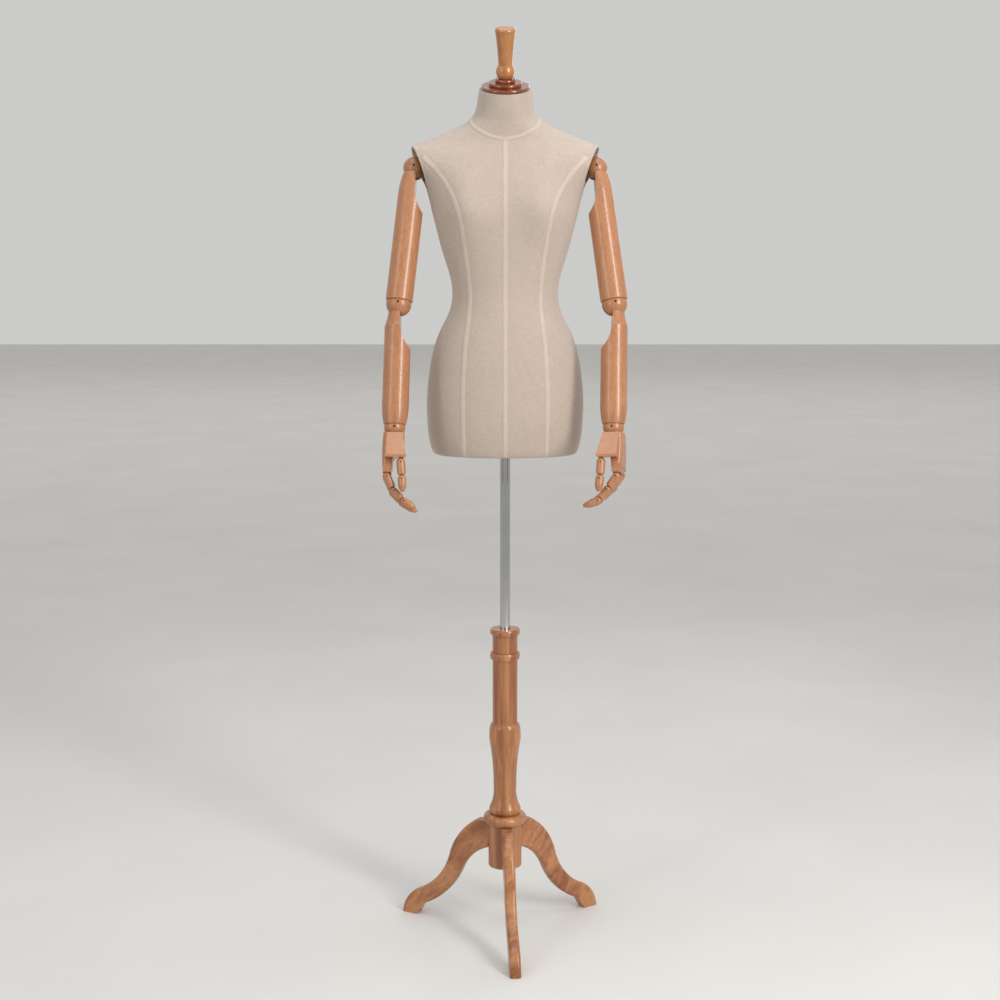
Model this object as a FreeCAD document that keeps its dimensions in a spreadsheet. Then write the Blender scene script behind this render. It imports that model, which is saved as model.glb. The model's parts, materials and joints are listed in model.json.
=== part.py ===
import FreeCAD, Part
import math
import os
import Sketcher

# Dress form: a linen-covered torso with jointed wooden arms and hands, on a height-adjustable
# chrome pole and a turned tripod stand. Millimetres, +Z up. The origin is on the floor, on the
# axis of the pole, and the form faces -Y. Side +1 is the arm on +X, side -1 the arm on -X.
# Each arm piece is drawn hanging down, with its upper pin at its own origin and the pin along Y;
# its inner side, towards the torso, is -X on side +1 and +X on side -1.

Vector = FreeCAD.Vector
Rotation = FreeCAD.Rotation
Placement = FreeCAD.Placement

GAP = 0.3          # between faces that move past each other
RUN = 0.05         # radial play of a pin or a pole in its bore
SIDES = {"right": 1, "left": -1}

doc = FreeCAD.newDocument("dress_form")
sheet = doc.addObject("Spreadsheet::Sheet", "Sizes")
nodes = {}
frames = {}


# ---------------------------------------------------------------- sizes

class Size(float):
    """A number that remembers the spreadsheet expression that gives it."""

    def __new__(cls, value, text):
        number = super().__new__(cls, value)
        number.text = text
        return number

    def __add__(self, other):
        return Size(float(self) + float(other), f"({self.text} + {text_of(other)})")

    __radd__ = __add__

    def __sub__(self, other):
        return Size(float(self) - float(other), f"({self.text} - {text_of(other)})")

    def __rsub__(self, other):
        return Size(float(other) - float(self), f"({text_of(other)} - {self.text})")

    def __mul__(self, other):
        return Size(float(self) * float(other), f"({self.text} * {text_of(other)})")

    __rmul__ = __mul__

    def __neg__(self):
        return Size(-float(self), f"(-1 * {self.text})")


def text_of(value):
    return value.text if isinstance(value, Size) else repr(float(value))


class Sizes:
    """The driving dimensions: a spreadsheet row each, read back as an attribute."""

    def __init__(self, rows):
        for number, (alias, value, what) in enumerate(rows, start=1):
            sheet.set(f"A{number}", what)
            sheet.set(f"B{number}", str(value))
            sheet.setAlias(f"B{number}", alias)
            setattr(self, alias, Size(value, f"Sizes.{alias}"))
        doc.recompute()


FINGERS = ("index", "middle", "ring", "little")
# pin to pin, pin to pin, pin to tip, and the height of the first pin below the wrist pin
FINGER_LENGTHS = {
    "index": (33.0, 29.0, 29.0, 105.0),
    "middle": (35.0, 31.0, 30.0, 107.0),
    "ring": (33.0, 29.0, 29.0, 104.0),
    "little": (28.0, 24.0, 26.0, 98.0),
}

rows = [
    ("pole_radius", 11.0, "chrome pole, outside"),
    ("pole_wall", 1.6, "chrome pole, wall"),
    ("pole_bottom", 440.0, "lower end of the pole, at rest height"),
    ("pole_top", 1290.0, "upper end of the pole"),
    ("bore_bottom", 262.0, "bottom of the bore in the column"),
    ("column_foot", 273.0, "column stands on the collar here"),
    ("column_top", 640.0, "top of the lower bead"),
    ("column_radius", 27.4, "plain stretch of the column and the sleeve"),
    ("bead_radius", 31.0, "flat part of a bead"),
    ("bead_crown", 1.9, "roundness of a bead"),
    ("vase_radius", 34.0, "widest part of the vase"),
    ("vase_waist", 25.5, "narrowest part of the vase"),
    ("flare_radius", 34.5, "foot of the column"),
    ("tenon_radius", 16.0, "tenon under the column"),
    ("sleeve_top", 693.0, "top of the twist sleeve"),
    ("neck_radius", 20.0, "column neck inside the twist sleeve"),
    ("collar_radius", 40.0, "base collar, flat part"),
    ("collar_crown", 8.0, "roundness of the base collar"),
    ("hub_radius", 37.0, "hub block"),
    ("hub_top", 250.0, "top of the hub block"),
    ("hub_bottom", 152.0, "bottom of the hub block"),
    ("hub_cavity", 20.0, "radius of the hollow for the nuts"),
    ("tenon_in", 27.0, "inner end of the leg tenons"),
    ("leg_thickness", 24.0, "leg, from side to side"),
    ("leg_round", 7.5, "rounding of the leg edges"),
    ("leg_reach", 256.0, "tip of the foot from the pole axis"),
    ("bolt_height", 222.0, "hanger bolts of the legs"),
    ("bolt_radius", 3.0, "hanger bolts of the legs"),
    ("shell_wall", 4.0, "moulded body shell"),
    ("cover_wall", 4.0, "padding and linen on the shell"),
    ("neck_tilt", 20.0, "neck leans forward, degrees"),
    ("cap_radius", 50.5, "lowest step of the neck cap"),
    ("cap_middle", 35.0, "middle step of the neck cap"),
    ("cap_upper", 21.7, "upper step of the neck cap"),
    ("cap_step", 7.3, "height of each step of the neck cap"),
    ("finial_length", 102.0, "finial above the neck cap"),
    ("finial_ball", 27.0, "height of the ball at its foot"),
    ("board_thickness", 12.0, "base board"),
    ("socket_radius", 14.0, "tube that turns on the pole"),
    ("armhole_tilt", 19.0, "armhole plane, degrees from upright"),
    ("armhole_turn", 8.0, "armhole plane turned to the front, degrees"),
    ("armhole_depth", 20.0, "recess in the armhole"),
    ("plate_thickness", 7.0, "armhole board"),
    ("shoulder_x", 190.5, "shoulder pin from the middle"),
    ("shoulder_z", 1682.0, "shoulder pin above the floor"),
    ("ball_radius", 24.5, "shoulder ball"),
    ("stud_radius", 5.0, "stud that the arm turns on"),
    ("arm_pin_radius", 2.6, "cross pins of the arm"),
    ("arm_radius", 28.4, "upper arm"),
    ("upper_length", 292.5, "shoulder pin to elbow pin"),
    ("elbow_drop", 7.0, "elbow pin below the twist joint"),
    ("elbow_radius", 26.4, "elbow knuckle"),
    ("elbow_flat", 22.5, "elbow knuckle, pin to its flat bottom"),
    ("fore_radius", 27.8, "forearm"),
    ("fore_length", 260.0, "elbow pin to wrist pin"),
    ("fore_end", 23.5, "forearm at the wrist"),
    ("wrist_drop", 6.5, "wrist pin below the twist joint"),
    ("wrist_radius", 22.0, "wrist knuckle"),
    ("dowel_radius", 6.0, "dowels of the twist joints"),
    ("arm_tongue", 12.0, "thickness of the arm tongues"),
    ("wrist_tongue", 9.0, "thickness of the palm tongue"),
    ("palm_width", 68.0, "palm across the knuckles"),
    ("palm_wrist", 44.0, "palm across the wrist"),
    ("finger_pitch", 17.4, "finger to finger"),
    ("finger_radius", 8.4, "finger base pieces"),
    ("finger_taper", 0.4, "how much each further piece is thinner"),
    ("finger_tongue", 5.0, "thickness of the finger tongues"),
    ("finger_pin_radius", 1.5, "pins of the fingers"),
    ("finger_line", 12.0, "finger pins outward from the arm axis"),
    ("thumb_radius", 9.2, "thumb base piece"),
    ("thumb_line", 16.5, "thumb pin inward from the arm axis"),
    ("thumb_front", 44.0, "thumb pin in front of the arm axis"),
    ("thumb_drop", 77.0, "thumb pin below the wrist pin"),
    ("thumb_base", 34.0, "thumb, pin to pin"),
    ("thumb_tip", 27.0, "thumb, pin to tip"),
    ("arm_lean", 14.0, "arms hang forward, degrees"),
    ("spread_right", 7.3, "right upper arm outward, degrees"),
    ("spread_left", 6.2, "left upper arm outward, degrees"),
    ("bend_right", 8.2, "right elbow, degrees from straight"),
    ("bend_left", 4.7, "left elbow, degrees from straight"),
    ("palm_turn_right", 15.0, "right hand turned about the forearm, degrees"),
    ("palm_turn_left", 2.0, "left hand turned about the forearm, degrees"),
]
for finger, lengths in FINGER_LENGTHS.items():
    parts_of_finger = ("base", "middle", "tip", "drop")
    for part_of_finger, length in zip(parts_of_finger, lengths):
        rows.append((f"{finger}_{part_of_finger}", length, f"{finger} finger, {part_of_finger}"))

sizes = Sizes(rows)

# how far each joint of a hand is curled at rest, in degrees: base, middle and tip piece
CURL = {
    "right": {"index": (36, 2, 28), "middle": (38, 8, 30), "ring": (36, 12, 28), "little": (32, 14, 26)},
    "left": {"index": (28, 18, 14), "middle": (26, 20, 16), "ring": (22, 22, 16), "little": (18, 22, 16)},
}
THUMB_CURL = {"right": (4, 2), "left": (6, -2)}


# ---------------------------------------------------------------- helpers

def bind(thing, prop, value):
    """Set a property, from the spreadsheet where the value comes from there."""
    if isinstance(value, Size):
        thing.setExpression(prop, value.text)
    setattr(thing, prop, float(value))


def new_body(name):
    return doc.addObject("PartDesign::Body", name)


def new_sketch(body, role, offset=0.0):
    """A sketch on an origin plane of the body, shifted along the plane's normal."""
    plane = next(f for f in body.Origin.OriginFeatures if f.Role == role)
    sketch = body.newObject("Sketcher::SketchObject", "Sketch")
    sketch.AttachmentSupport = [(plane, "")]
    sketch.MapMode = "FlatFace"
    sketch.AttachmentOffset = Placement(Vector(0, 0, float(offset)), Rotation())
    return sketch


def outline(sketch, corners):
    """A closed outline through the corners (x, y) or (x, y, bulge), in order.

    Bulge is the height of the arc that arrives at that corner, to the left of the way there.
    """
    first = sketch.GeometryCount
    shapes = []
    ends = []
    for index, corner in enumerate(corners):
        start = Vector(float(corners[index - 1][0]), float(corners[index - 1][1]), 0)
        finish = Vector(float(corner[0]), float(corner[1]), 0)
        bulge = float(corner[2]) if len(corner) > 2 else 0.0
        if bulge:
            way = (finish - start).normalize()
            crown = (start + finish) * 0.5 + Vector(-way.y, way.x, 0) * bulge
            shapes.append(Part.ArcOfCircle(start, crown, finish))
            ends.append((2, 1) if bulge > 0 else (1, 2))
        else:
            shapes.append(Part.LineSegment(start, finish))
            ends.append((1, 2))
    sketch.addGeometry(shapes, False)

    for index, corner in enumerate(corners):
        following = (index + 1) % len(corners)
        shape = first + index
        point = ends[index][1]
        sketch.addConstraint(
            Sketcher.Constraint("Coincident", shape, point, first + following, ends[following][0])
        )
        for kind, axis, value in (("DistanceX", -2, corner[0]), ("DistanceY", -1, corner[1])):
            if float(value) == 0.0:
                sketch.addConstraint(Sketcher.Constraint("PointOnObject", shape, point, axis))
                continue
            number = sketch.addConstraint(
                Sketcher.Constraint(kind, -1, 1, shape, point, float(value))
            )
            if isinstance(value, Size):
                sketch.setExpression(f"Constraints[{number}]", value.text)
        if len(corner) > 2 and float(corner[2]):
            fix_arc(sketch, shape, shapes[index], corners[index - 1], corner)


def fix_arc(sketch, shape, arc, start, finish):
    """Give an arc its radius, or its centre where it is a half circle."""
    width = abs(float(finish[0]) - float(start[0]))
    height = abs(float(finish[1]) - float(start[1]))
    if math.hypot(width, height) < 1.9999 * arc.Radius:
        sketch.addConstraint(Sketcher.Constraint("Radius", shape, arc.Radius))
        return
    kind, axis, value = ("DistanceY", -1, finish[1])
    if height > width:
        kind, axis, value = ("DistanceX", -2, finish[0])
    if float(value) == 0.0:
        sketch.addConstraint(Sketcher.Constraint("PointOnObject", shape, 3, axis))
        return
    number = sketch.addConstraint(Sketcher.Constraint(kind, -1, 1, shape, 3, float(value)))
    if isinstance(value, Size):
        sketch.setExpression(f"Constraints[{number}]", value.text)


def flowing(start, angle, points):
    """Corners of a row of arcs from start, each tangent to the one before.

    Angle is the direction of the first arc at start, in degrees.
    """
    corners = []
    for point in points:
        way = (float(point[0]) - float(start[0]), float(point[1]) - float(start[1]))
        chord_angle = math.degrees(math.atan2(way[1], way[0]))
        half_turn = (angle - chord_angle + 180) % 360 - 180
        bulge = math.hypot(way[0], way[1]) / 2 * math.tan(math.radians(half_turn / 2))
        corners.append((point[0], point[1], bulge))
        angle = chord_angle - half_turn
        start = point
    return corners


def mirrored(corners, side):
    """The same outline for the other side of the body."""
    flipped = []
    for corner in corners:
        bulge = (side * corner[2],) if len(corner) > 2 else ()
        flipped.append((side * corner[0], corner[1]) + bulge)
    return flipped


def turn(body, corners, kind="PartDesign::Revolution"):
    """Turn an outline (radius, height) about the body's Z axis, to add or to cut."""
    sketch = new_sketch(body, "XZ_Plane")
    outline(sketch, corners)
    feature = body.newObject(kind, kind.split("::")[1])
    feature.Profile = sketch
    feature.ReferenceAxis = (sketch, ["V_Axis"])
    feature.Angle = 360
    return feature


def slab(body, corners, width, kind="PartDesign::Pad", role="XZ_Plane", offset=0.0):
    """Add or cut an outline with the given width, half to each side of its plane."""
    sketch = new_sketch(body, role, offset)
    outline(sketch, corners)
    feature = body.newObject(kind, kind.split("::")[1])
    feature.Profile = sketch
    feature.SideType = "Symmetric"
    bind(feature, "Length", width)
    return feature


def cross_hole(body, x, z, radius, width, offset=0.0):
    """A round hole along Y."""
    sketch = new_sketch(body, "XZ_Plane", offset)
    sketch.addGeometry(Part.Circle(Vector(float(x), float(z), 0), Vector(0, 0, 1), float(radius)))
    for kind, axis, value in (("DistanceX", -2, x), ("DistanceY", -1, z)):
        if float(value) == 0.0:
            sketch.addConstraint(Sketcher.Constraint("PointOnObject", 0, 3, axis))
            continue
        number = sketch.addConstraint(Sketcher.Constraint(kind, -1, 1, 0, 3, float(value)))
        if isinstance(value, Size):
            sketch.setExpression(f"Constraints[{number}]", value.text)
    number = sketch.addConstraint(Sketcher.Constraint("Radius", 0, float(radius)))
    if isinstance(radius, Size):
        sketch.setExpression(f"Constraints[{number}]", radius.text)
    hole = body.newObject("PartDesign::Pocket", "PinHole")
    hole.Profile = sketch
    hole.SideType = "Symmetric"
    bind(hole, "Length", width)
    return hole


def half_disc(radius):
    """Outline of a ball about the body's origin."""
    return [(0, radius), (0, -radius, radius)]


def corner_slot(radius, reach, side, up):
    """Outline of a slot about a pin, open to one side and upward or downward."""
    across = side * up
    corners = [
        (side * reach, up * reach),
        (-side * radius, up * reach),
        (-side * radius, 0),
        (0, -up * radius, -across * 0.2929 * radius),
        (side * reach, -up * radius),
    ]
    return corners


def tongue_outline(radius, inner, outer, length):
    """A round-ended tongue that hangs from its pin: inner edge at -inner, outer at +outer."""
    return [
        (-radius, 0),
        (radius, 0, radius),
        (outer, -radius),
        (outer, -length),
        (-inner, -length),
        (-inner, -radius),
    ]


def cross_pin(name, radius, length):
    """A steel pin along Y, centred on the origin."""
    pin = doc.addObject("Part::Cylinder", name)
    bind(pin, "Radius", radius)
    bind(pin, "Height", length)
    pin.Placement = Placement(Vector(0, float(length) / 2, 0), Rotation(Vector(1, 0, 0), 90))
    return pin


def group(name, members):
    """Several solids that make one node."""
    compound = doc.addObject("Part::Compound", name)
    compound.Links = members
    return compound


def finish(name, thing, place=None):
    """Name a sub-part and put it in its place."""
    thing.Label = name
    if place is not None:
        thing.Placement = place
    nodes[name] = thing


def about(axis, degrees):
    vectors = {"x": Vector(1, 0, 0), "y": Vector(0, 1, 0), "z": Vector(0, 0, 1)}
    return Placement(Vector(0, 0, 0), Rotation(vectors[axis], float(degrees)))


def shift(x, y, z):
    return Placement(Vector(float(x), float(y), float(z)), Rotation())


# ---------------------------------------------------------------- stand

def build_column():
    bore = sizes.pole_radius + RUN
    body = new_body("ColumnBody")
    turn(body, [
        (0, sizes.hub_top - 7),
        (sizes.tenon_radius, sizes.hub_top - 7),
        (sizes.tenon_radius, sizes.column_foot),
        (sizes.flare_radius - 3.5, sizes.column_foot),
        (sizes.flare_radius, sizes.column_foot + 14, -2.0),
        (sizes.vase_waist, sizes.column_foot + 62, 3.5),
        (sizes.vase_waist, sizes.column_foot + 77),
        (sizes.vase_radius, sizes.column_foot + 165, 1.6),
        (sizes.vase_radius, sizes.column_foot + 194, -1.0),
        (sizes.column_radius, sizes.column_foot + 209, -1.6),
        (sizes.column_radius, sizes.column_top - 15),
        (sizes.bead_radius, sizes.column_top - 15),
        (sizes.bead_radius, sizes.column_top, -sizes.bead_crown),
        (sizes.neck_radius, sizes.column_top),
        (sizes.neck_radius, sizes.column_top + 32),
        (bore, sizes.column_top + 32),
        (bore, sizes.bore_bottom),
        (0, sizes.bore_bottom),
    ])
    finish("column", body)


def build_base_collar():
    body = new_body("CollarBody")
    turn(body, [
        (sizes.tenon_radius + RUN, sizes.hub_top),
        (sizes.collar_radius, sizes.hub_top),
        (sizes.collar_radius, sizes.column_foot, -sizes.collar_crown),
        (sizes.tenon_radius + RUN, sizes.column_foot),
    ])
    finish("base_collar", body)


LEG_AZIMUTHS = {"leg_front": -85.0, "leg_right": 35.0, "leg_left": 155.0}
MORTISE_LOW = 200.0
MORTISE_HIGH = 246.0


def build_hub():
    body = new_body("HubBody")
    turn(body, [
        (sizes.hub_cavity, sizes.hub_bottom),
        (sizes.hub_radius - 2, sizes.hub_bottom),
        (sizes.hub_radius, sizes.hub_bottom + 2, -0.5),
        (sizes.hub_radius, sizes.hub_top - 2),
        (sizes.hub_radius - 2, sizes.hub_top, -0.5),
        (sizes.tenon_radius + RUN, sizes.hub_top),
        (sizes.tenon_radius + RUN, sizes.hub_top - 7),
        (0, sizes.hub_top - 7),
        (0, sizes.hub_top - 12),
        (sizes.hub_cavity, sizes.hub_top - 12),
    ])
    mortise = slab(body, [
        (sizes.tenon_in, MORTISE_LOW),
        (sizes.hub_radius + 5, MORTISE_LOW),
        (sizes.hub_radius + 5, MORTISE_HIGH),
        (sizes.tenon_in, MORTISE_HIGH),
    ], sizes.leg_thickness, "PartDesign::Pocket")
    sketch = new_sketch(body, "YZ_Plane")
    sketch.addGeometry(
        Part.Circle(Vector(0, float(sizes.bolt_height), 0), Vector(0, 0, 1), 3.0 + RUN)
    )
    hole = body.newObject("PartDesign::Pocket", "BoltHole")
    hole.Profile = sketch
    hole.Reversed = True
    hole.Length = 40
    pattern = body.newObject("PartDesign::PolarPattern", "ThreeLegs")
    pattern.Originals = [mortise, hole]
    pattern.Axis = (mortise.Profile[0], ["V_Axis"])
    pattern.Angle = 360
    pattern.Occurrences = 3
    body.Tip = pattern
    finish("hub_block", body, about("z", LEG_AZIMUTHS["leg_front"]))


def build_leg(name, azimuth):
    """A cabriole leg: an S of even thickness, with its tenon in the hub and a flat foot."""
    shoulder = sizes.hub_radius + 0.2
    reach = sizes.leg_reach
    upper_start = (66, sizes.hub_top - 0.3)
    lower_start = (reach - 52, 26)
    body = new_body(f"{name}_body")
    pad = slab(body, [
        (sizes.tenon_in, MORTISE_LOW),
        (sizes.tenon_in, MORTISE_HIGH),
        (shoulder, MORTISE_HIGH),
        (shoulder, sizes.hub_top - 0.3),
        upper_start,
        *flowing(upper_start, -30, [(136, 158), (reach - 40, 61), (reach, 10)]),
        (reach, 0),
        (reach - 37, 0),
        lower_start,
        *flowing(lower_start, 157, [(104, 126), (shoulder, 188)]),
        (shoulder, MORTISE_LOW),
    ], sizes.leg_thickness)
    doc.recompute()
    edges = []
    for number, edge in enumerate(pad.Shape.Edges, start=1):
        if edge.BoundBox.YLength < 0.1 and edge.Curve.TypeId == "Part::GeomCircle":
            edges.append(f"Edge{number}")
    rounding = body.newObject("PartDesign::Fillet", "RoundedEdges")
    rounding.Base = (pad, edges)
    bind(rounding, "Radius", sizes.leg_round)
    sketch = new_sketch(body, "YZ_Plane")
    sketch.addGeometry(
        Part.Circle(Vector(0, float(sizes.bolt_height), 0), Vector(0, 0, 1), 3.0 + RUN)
    )
    hole = body.newObject("PartDesign::Pocket", "BoltHole")
    hole.Profile = sketch
    hole.Reversed = True
    hole.Length = 72
    finish(name, body, about("z", azimuth))


def build_leg_bolts():
    """Hanger bolts with their nuts, from the hollow of the hub into each leg."""
    members = []
    for name, azimuth in LEG_AZIMUTHS.items():
        shank = doc.addObject("Part::Cylinder", f"{name}_shank")
        bind(shank, "Radius", sizes.bolt_radius)
        shank.Height = 58
        nut = doc.addObject("Part::Prism", f"{name}_nut")
        nut.Polygon = 6
        nut.Circumradius = 6
        nut.Height = 5
        bolt = doc.addObject("Part::Fuse", f"{name}_bolt")
        bolt.Base = shank
        bolt.Tool = nut
        along = Placement(Vector(0, 0, 0), Rotation(Vector(0, 1, 0), 90))
        bolt.Placement = about("z", azimuth) * shift(13.5, 0, sizes.bolt_height) * along
        members.append(bolt)
    finish("leg_bolts", group("LegBolts", members))


def build_pole():
    inside = sizes.pole_radius - sizes.pole_wall
    body = new_body("PoleBody")
    turn(body, [
        (inside, sizes.pole_bottom),
        (sizes.pole_radius, sizes.pole_bottom),
        (sizes.pole_radius, sizes.pole_top),
        (0, sizes.pole_top),
        (0, sizes.pole_top - 3),
        (inside, sizes.pole_top - 3),
    ])
    finish("pole", body)


def build_lock_sleeve():
    """Twist sleeve with the upper bead; it turns on the neck of the column."""
    foot = sizes.column_top + GAP
    body = new_body("SleeveBody")
    turn(body, [
        (sizes.neck_radius + RUN, foot),
        (sizes.column_radius, foot),
        (sizes.column_radius, sizes.sleeve_top - 13),
        (sizes.bead_radius, sizes.sleeve_top - 13),
        (sizes.bead_radius, sizes.sleeve_top, -sizes.bead_crown),
        (sizes.pole_radius + 1.2, sizes.sleeve_top),
        (sizes.pole_radius + 1.2, sizes.sleeve_top - 6),
        (sizes.neck_radius + RUN, sizes.sleeve_top - 6),
    ])
    finish("lock_sleeve", body)


def build_lock_collet():
    """Split ring on top of the column's neck, round the pole."""
    foot = sizes.column_top + 32
    outside = sizes.neck_radius - 0.6
    body = new_body("ColletBody")
    turn(body, [
        (sizes.pole_radius + RUN, foot),
        (outside, foot),
        (outside, foot + 8),
        (outside - 3, foot + 14),
        (sizes.pole_radius + RUN, foot + 14),
    ])
    slab(body, [(0, foot - 1), (outside + 2, foot - 1), (outside + 2, foot + 15), (0, foot + 15)],
         2.0, "PartDesign::Pocket")
    finish("lock_collet", body)


# ---------------------------------------------------------------- torso

# Sections of the body from the bottom up: height, half width, depth in front of the pole axis,
# depth behind it, squareness (2 is an ellipse), bust height, and how much of the neck's tilt.
SECTIONS = [
    (1078, 148, 86, 104, 2.15, 0, 0.0),
    (1080, 153, 91, 109, 2.15, 0, 0.0),
    (1085, 156.5, 94.5, 112.5, 2.15, 0, 0.0),
    (1093, 159.3, 97.5, 115.5, 2.15, 0, 0.0),
    (1108, 163, 101, 119.5, 2.15, 0, 0.0),
    (1145, 167, 106, 126, 2.15, 0, 0.0),
    (1190, 168, 107, 127, 2.15, 0, 0.0),
    (1240, 164, 106, 123, 2.10, 0, 0.0),
    (1297, 154, 103, 114, 2.10, 0, 0.0),
    (1345, 137, 98, 102, 2.10, 0, 0.0),
    (1388, 117, 92, 92, 2.10, 0, 0.0),
    (1425, 112, 89, 87, 2.10, 0, 0.0),
    (1462, 118, 89, 86, 2.15, 0, 0.0),
    (1510, 133, 92, 88, 2.20, 4, 0.0),
    (1552, 144, 96, 91, 2.25, 15, 0.0),
    (1590, 153.5, 97, 94, 2.30, 23, 0.0),
    (1628, 162.5, 93, 95, 2.35, 15, 0.0),
    (1652, 172, 88, 94, 2.50, 8, 0.0),
    (1672, 190, 82, 92, 2.60, 3, 0.0),
    (1696, 210, 73, 88, 2.65, 0, 0.0),
    (1714, 212, 65, 83, 2.50, 0, 0.0),
    (1726, 199, 60, 79, 2.20, 0, 0.0),
    (1734, 182, 57, 76, 2.05, 0, 0.0),
    (1742, 160, 56, 73, 2.00, 0, 0.0),
    (1750, 138, 56, 70, 2.00, 0, 0.05),
    (1758, 117, 57, 67, 2.00, 0, 0.12),
    (1766, 101, 58, 64, 2.00, 0, 0.2),
    (1775, 84.5, 60, 60, 2.00, 0, 0.3),
    (1785, 71.5, 62, 56, 2.00, 0, 0.45),
    (1798, 63, 66, 51, 2.00, 0, 0.62),
    (1817, 58, 71, 43, 2.00, 0, 0.82),
    (1842, 54, 77, 31, 2.00, 0, 1.0),
]
BUST_X = 86.0
BUST_SPREAD = 44.0
SECTION_POINTS = 48
NECK_TOP_Y = -23.0      # middle of the last section
NECK_TOP_Z = 1842.0


def section_points(section, inset):
    """Points of one section of the body, drawn in by inset all round."""
    height, width, front, back, squareness, bust, tilt_share = section
    middle = (back - front) / 2
    depth = (back + front) / 2 - inset
    tilt = math.radians(float(sizes.neck_tilt) * tilt_share)
    points = []
    for step in range(SECTION_POINTS):
        angle = 2 * math.pi * step / SECTION_POINTS
        across = math.sin(angle)
        along = math.cos(angle)
        x = (width - inset) * math.copysign(abs(across) ** (2 / squareness), across)
        lean = depth * math.copysign(abs(along) ** (2 / squareness), along)
        if along < 0:
            left = math.exp(-((x - BUST_X) / BUST_SPREAD) ** 2)
            right = math.exp(-((x + BUST_X) / BUST_SPREAD) ** 2)
            lean -= bust * (left + right) * abs(along)
        points.append(Vector(x, middle + lean * math.cos(tilt), height + lean * math.sin(tilt)))
    return points


def smooth_ring(points):
    ring = Part.BSplineCurve()
    steps = [step / len(points) for step in range(len(points) + 1)]
    ring.interpolate(Points=points, PeriodicFlag=True, Parameters=steps)
    return ring


def body_solid(inset, floor=None):
    """The whole body drawn in by inset, down to the height floor."""
    way = [0.0]
    for below, above in zip(SECTIONS, SECTIONS[1:]):
        way.append(way[-1] + math.hypot(above[0] - below[0], above[1] - below[1]))
    columns = []
    for points in zip(*[section_points(section, inset) for section in SECTIONS]):
        column = Part.BSplineCurve()
        column.interpolate(Points=list(points), Parameters=way)
        columns.append(column)
    rings = [smooth_ring(list(poles)) for poles in zip(*[c.getPoles() for c in columns])]
    surface = Part.BSplineSurface()
    surface.buildFromPolesMultsKnots(
        [ring.getPoles() for ring in rings],
        columns[0].getMultiplicities(), rings[0].getMultiplicities(),
        columns[0].getKnots(), rings[0].getKnots(), False, True, 3, 3,
    )
    skin = surface.toShape()
    ends = [Part.Face(Part.Wire([edge])) for edge in skin.Edges if edge.isClosed()]
    shell = Part.Shell([skin] + ends)
    shell.sewShape()
    solid = Part.Solid(shell)
    if floor is None:
        return solid
    return solid.common(Part.makeBox(600, 600, 1000, Vector(-300, -300, floor)))


def armhole_frame(side):
    """Frame on the armhole plane at the height of the shoulder pin, its X axis outward."""
    turned = -sizes.armhole_turn if side > 0 else 180 + sizes.armhole_turn
    plane_x = float(sizes.shoulder_x) - 12.3
    place = shift(side * plane_x, 0, float(sizes.shoulder_z) - 4)
    return place * about("z", turned) * about("y", sizes.armhole_tilt)


ARMHOLE_FOOT = 1640.0


def outside_armhole(side, depth):
    """Block that covers everything outside the armhole plane, moved in by depth."""
    block = Part.makeBox(200, 400, 400, Vector(-depth, -200, -190))
    block.Placement = armhole_frame(side)
    below = Part.makeBox(600, 600, ARMHOLE_FOOT, Vector(-300, -300, 0))
    return block.cut(below)


def solid_feature(name, shape, place=None):
    feature = doc.addObject("Part::Feature", name)
    feature.Shape = shape
    finish(name, feature, place)


def build_torso():
    """Padded linen cover, moulded shell and base board, all from the same sections."""
    cover_wall = float(sizes.cover_wall)
    shell_wall = float(sizes.shell_wall)
    depth = float(sizes.armhole_depth) + float(sizes.plate_thickness)
    board = float(sizes.board_thickness)
    floor = SECTIONS[0][0]

    outer = body_solid(0.0)
    inside_cover = body_solid(cover_wall, floor + cover_wall)
    shell_outer = body_solid(cover_wall + 0.2, floor + cover_wall)
    shell_inner = body_solid(cover_wall + 0.2 + shell_wall)
    for side in SIDES.values():
        outer = outer.cut(outside_armhole(side, 0.0))
        shell_outer = shell_outer.cut(outside_armhole(side, depth))
        shell_inner = shell_inner.cut(outside_armhole(side, depth + shell_wall))
    hole = Part.makeCylinder(float(sizes.socket_radius) + 2, 40, Vector(0, 0, floor - 20))
    solid_feature("torso_cover", outer.cut(inside_cover).cut(hole))
    solid_feature("torso_shell", shell_outer.cut(shell_inner))

    plank = body_solid(cover_wall + shell_wall + 0.5)
    plank = plank.common(Part.makeBox(600, 600, board, Vector(-300, -300, floor + cover_wall)))
    hole = Part.makeCylinder(float(sizes.socket_radius), 100, Vector(0, 0, floor - 20))
    solid_feature("base_board", plank.cut(hole))


def build_pole_socket():
    """Tube that turns on top of the pole, with its flange on the base board."""
    bore = sizes.pole_radius + RUN
    board_top = SECTIONS[0][0] + 4 + sizes.board_thickness
    body = new_body("SocketBody")
    turn(body, [
        (bore, SECTIONS[0][0] - 4),
        (sizes.socket_radius, SECTIONS[0][0] - 4),
        (sizes.socket_radius, board_top),
        (sizes.socket_radius + 26, board_top),
        (sizes.socket_radius + 26, board_top + 5),
        (sizes.socket_radius, board_top + 5),
        (sizes.socket_radius, sizes.pole_top + 5),
        (0, sizes.pole_top + 5),
        (0, sizes.pole_top + 0.1),
        (bore, sizes.pole_top + 0.1),
    ])
    finish("pole_socket", body)


def neck_frame():
    return shift(0, NECK_TOP_Y, NECK_TOP_Z) * about("x", sizes.neck_tilt)


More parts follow.
